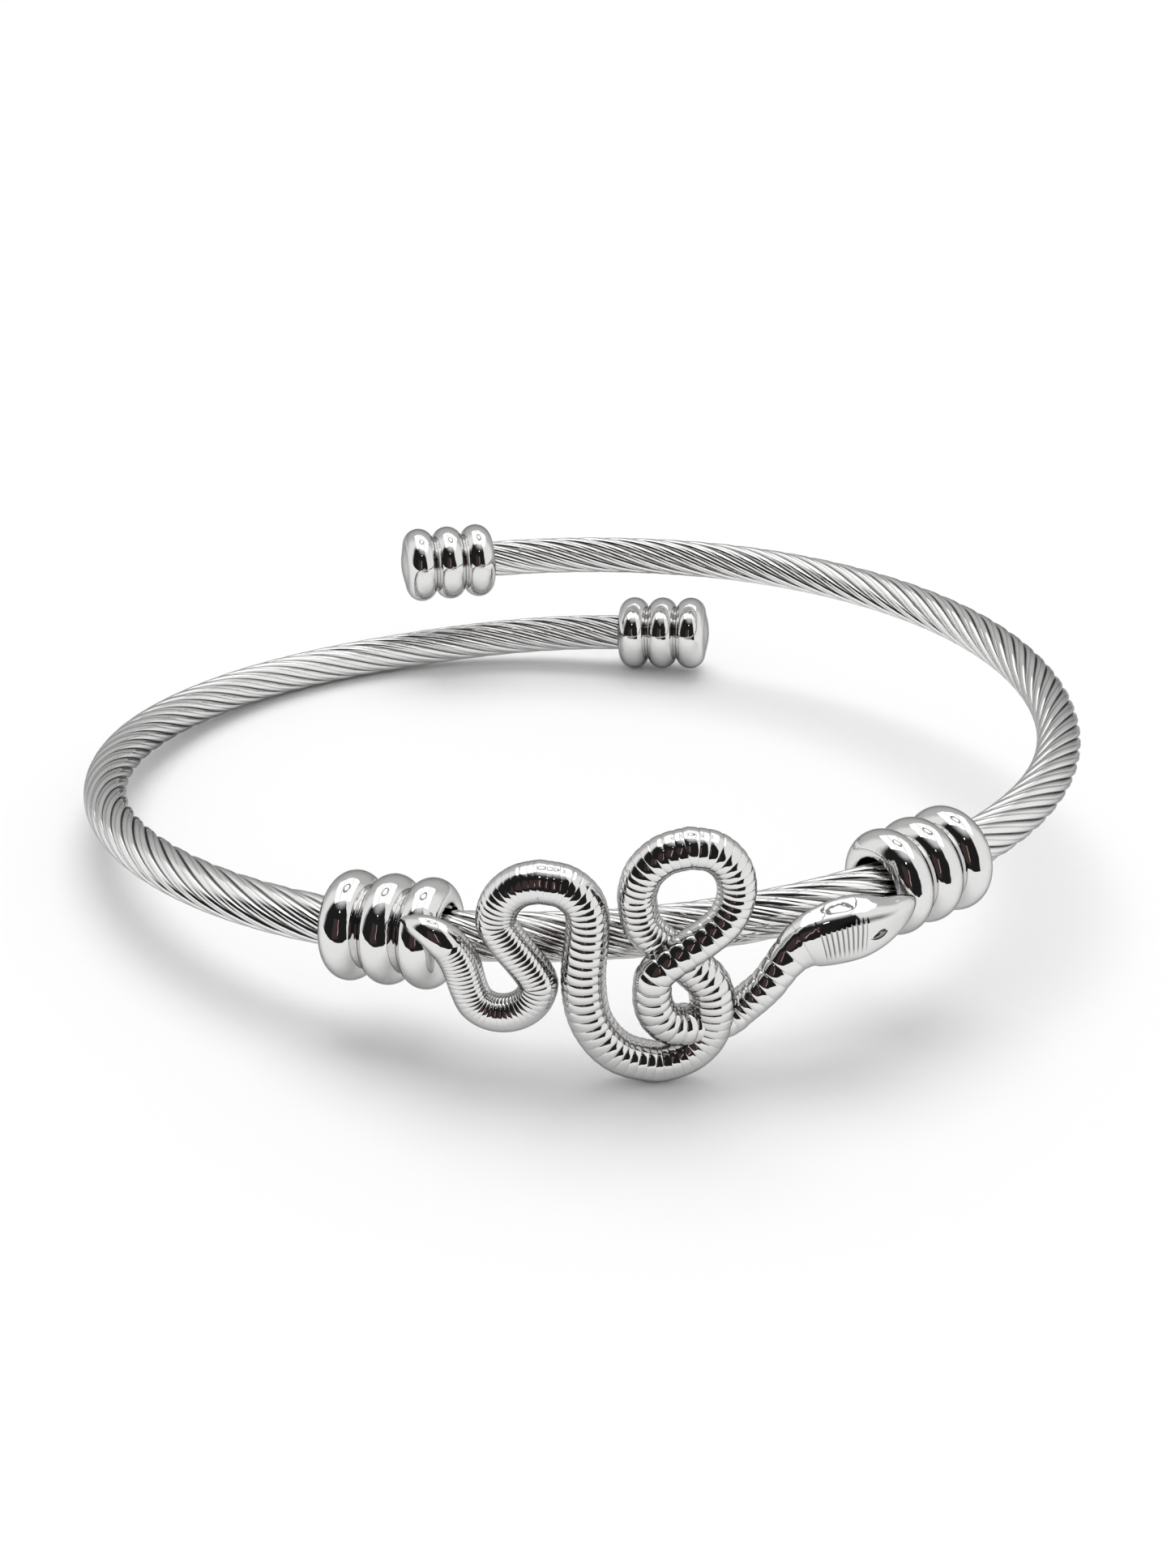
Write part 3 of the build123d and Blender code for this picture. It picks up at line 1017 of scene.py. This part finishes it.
position = room_tree.nodes.new("ShaderNodeTexCoord")
from_center = room_tree.nodes.new("ShaderNodeVectorMath")
from_center.operation = "SUBTRACT"
from_center.inputs[1].default_value = ROOM_CENTER
split = room_tree.nodes.new("ShaderNodeSeparateXYZ")
room_tree.links.new(position.outputs["Object"], from_center.inputs[0])
room_tree.links.new(from_center.outputs[0], split.inputs[0])
x, y, z = split.outputs
flat = calc("SQRT", calc("ADD", calc("MULTIPLY", x, x), calc("MULTIPLY", y, y)))
degree = 180 / pi
elevation = calc("MULTIPLY", calc("ARCTAN2", z, flat), degree)
azimuth = calc("MULTIPLY", calc("ARCTAN2", x, calc("MULTIPLY", y, -1)), degree)
height = calc("MAXIMUM", z, LEAST_HEIGHT)
across = calc("DIVIDE", x, height)
back = calc("DIVIDE", y, height)

dark_left = ramp(azimuth, DARK_LEFT - DARK_LEFT_SOFT, DARK_LEFT + DARK_LEFT_SOFT)
front = calc("MULTIPLY", dark_left, between(azimuth, FAR_LEFT, DARK_RIGHT, DARK_RIGHT_SOFT))
front_glow = blend(ramp(elevation, DARK_TO, GLOW_FROM), DARK, GLOW)
behind = between(calc("ABSOLUTE", azimuth), SIDE_WALL_TO, PAST_BEHIND, SIDE_WALL_SOFT)
sides = calc("SUBTRACT", 1, behind)
walls = blend(sides, WALL, SIDE_WALL)
surround = blend(front, walls, front_glow)

upright = between(elevation, *PATCH_ELEVATION)
patch = calc("MULTIPLY", between(azimuth, *PATCH_AZIMUTH), upright)
slit = calc("MULTIPLY", between(azimuth, *SLIT_AZIMUTH), between(elevation, *SLIT_ELEVATION))
lamp_up = calc("SUBTRACT", elevation, LAMP_ELEVATION)
lamp_side = calc("MULTIPLY", calc("SUBTRACT", azimuth, LAMP_AZIMUTH), LAMP_NARROW)
lamp_squares = calc("MULTIPLY", lamp_up, lamp_up), calc("MULTIPLY", lamp_side, lamp_side)
lamp_off = calc("SQRT", calc("ADD", *lamp_squares))
lamp = calc("SUBTRACT", 1, ramp(lamp_off, LAMP_FULL_TO, LAMP_TO))

inside = calc(
    "MULTIPLY",
    between(across, -SOFTBOX_SIDE, SOFTBOX_SIDE, SOFTBOX_SOFT),
    between(back, SOFTBOX_FRONT, SOFTBOX_BACK, SOFTBOX_SOFT),
)
gap_edges = PANEL_GAP_AT - PANEL_GAP_HALF, PANEL_GAP_AT + PANEL_GAP_HALF
gap = between(calc("ABSOLUTE", across), *gap_edges, PANEL_GAP_SOFT)
off_ring = calc("SUBTRACT", back, RING_LAMP_AT)
ring_squares = calc("MULTIPLY", across, across), calc("MULTIPLY", off_ring, off_ring)
ring_reach = calc("SQRT", calc("ADD", *ring_squares))
ring_edges = RING_LAMP_RADIUS - RING_LAMP_HALF, RING_LAMP_RADIUS + RING_LAMP_HALF
ring = between(ring_reach, *ring_edges, RING_LAMP_SOFT)
shade = calc("MINIMUM", calc("ADD", gap, ring), 1)
panels = calc("MULTIPLY", blend(shade, SOFTBOX, SOFTBOX_SHADE), ramp(z, 0, SOFTBOX_SOFT))

bright = blend(inside, surround, panels)
bright = blend(slit, bright, SLIT)
bright = blend(lamp, bright, LAMP)

warm = room_tree.nodes.new("ShaderNodeMix")
warm.data_type = "RGBA"
warm.inputs["A"].default_value = (1, 1, 1, 1)
warm.inputs["B"].default_value = (*PATCH_WARMTH, 1)
room_tree.links.new(patch, warm.inputs["Factor"])
glow = room_tree.nodes.new("ShaderNodeEmission")
room_out = room_tree.nodes.new("ShaderNodeOutputMaterial")
room_tree.links.new(warm.outputs["Result"], glow.inputs["Color"])
room_tree.links.new(bright, glow.inputs["Strength"])
room_tree.links.new(glow.outputs[0], room_out.inputs["Surface"])

# %% [markdown]
# The bangle stands on a white table. One floor is seen by the camera and takes the soft
# shadow. Mirrors see the same table, but only as far forward as the real one reached.

# %% The table
FLOOR_REACH = 3.0
FLOOR_WHITE = 0.90
FLOOR_ROUGHNESS = 0.9
SEEN_LEVEL = -2e-5
MIRRORED_LEVEL = -1e-5


def table_top(name, front_edge, level):
    """Flat white table from a front edge to far behind."""
    shape = bmesh.new()
    bmesh.ops.create_grid(shape, x_segments=1, y_segments=1, size=FLOOR_REACH)
    for vert in shape.verts:
        vert.co.y = max(vert.co.y, front_edge)
        vert.co.z = level
    top = add_piece(name, shape)
    material = bpy.data.materials.new(name)
    material.use_nodes = True
    shader = material.node_tree.nodes["Principled BSDF"]
    shader.inputs["Base Color"].default_value = (FLOOR_WHITE, FLOOR_WHITE, FLOOR_WHITE, 1)
    shader.inputs["Roughness"].default_value = FLOOR_ROUGHNESS
    shader.inputs["Specular IOR Level"].default_value = 0
    top.data.materials.append(material)
    return top


seen_table = table_top("table", -FLOOR_REACH, SEEN_LEVEL)
seen_table.visible_glossy = False
mirrored_table = table_top("table_in_mirrors", FLOOR_EDGE, MIRRORED_LEVEL)
mirrored_table.visible_camera = False
mirrored_table.visible_diffuse = False
mirrored_table.visible_shadow = False

# %% [markdown]
# The shadow comes from the softbox, which hangs a little behind the bangle, so it falls
# forward; the white room fills it up again. A sun with a very wide disc gives the same soft
# shadow as the softbox, and lights the whole table evenly.

# %% Light
SUN_STRENGTH = 1.48
SUN_WIDTH = radians(50)
SUN_BEHIND = radians(20)
SUN_AT = (0, 0.1, 0.3)
ROOM_LIGHT = 0.685

world = bpy.data.worlds.new("white_room")
bpy.context.scene.world = world
world.use_nodes = True
background = world.node_tree.nodes["Background"]
background.inputs["Color"].default_value = (1, 1, 1, 1)
background.inputs["Strength"].default_value = ROOM_LIGHT

light_data = bpy.data.lights.new("softbox", "SUN")
light_data.energy = SUN_STRENGTH
light_data.angle = SUN_WIDTH
light = bpy.data.objects.new("softbox", light_data)
light.rotation_euler = (-SUN_BEHIND, 0, 0)
light.location = SUN_AT
bpy.context.scene.collection.objects.link(light)
light.visible_glossy = False
bpy.context.scene.view_settings.view_transform = "Standard"
